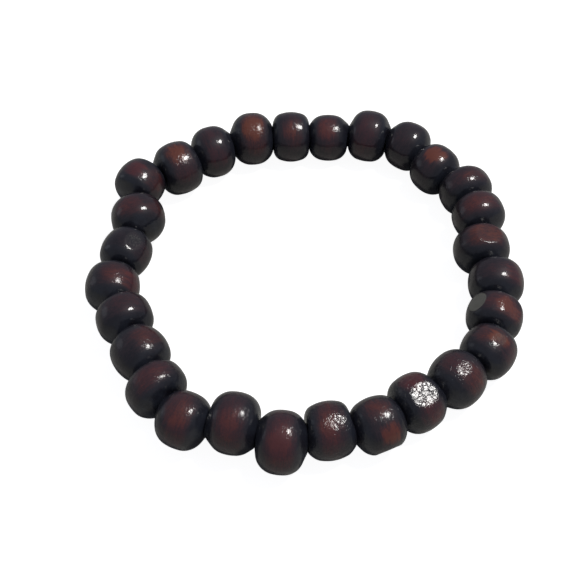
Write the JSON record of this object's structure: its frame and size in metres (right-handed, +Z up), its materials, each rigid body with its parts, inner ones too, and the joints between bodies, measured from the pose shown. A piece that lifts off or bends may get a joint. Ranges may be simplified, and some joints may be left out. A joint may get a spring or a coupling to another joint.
{
  "type": "beaded stretch bracelet",
  "caption": "Closed stretch bracelet of dark glossy wooden barrel beads on an elastic cord, lying flat in a slightly uneven ring.",
  "frame": {"origin": "middle of the bracelet's outline, on the surface that it lies on", "axes": "+Z up; +Y towards the back of the bracelet as the picture shows it, where bead_01 to bead_03 lie; +X towards bead_08 and bead_09"},
  "size_m": [0.0704, 0.0734, 0.0098],
  "materials": {
    "bead_wood": "glossy lacquer over dark mahogany-red stain",
    "elastic": "smooth satin"
  },
  "bodies": {
    "root": {"bead_01": "bead_wood", "bead_02": "bead_wood", "bead_03": "bead_wood", "bead_04": "bead_wood", "bead_05": "bead_wood", "bead_06": "bead_wood", "bead_07": "bead_wood", "bead_08": "bead_wood", "bead_09": "bead_wood", "bead_10": "bead_wood", "bead_11": "bead_wood", "bead_12": "bead_wood", "bead_13": "bead_wood", "bead_14": "bead_wood", "bead_15": "bead_wood", "bead_16": "bead_wood", "bead_17": "bead_wood", "bead_18": "bead_wood", "bead_19": "bead_wood", "bead_20": "bead_wood", "bead_21": "bead_wood", "bead_22": "bead_wood", "bead_23": "bead_wood", "bead_24": "bead_wood", "bead_25": "bead_wood", "bead_26": "bead_wood", "bead_27": "bead_wood", "bead_28": "bead_wood", "elastic_cord": "elastic"}
  },
  "joints": []
}
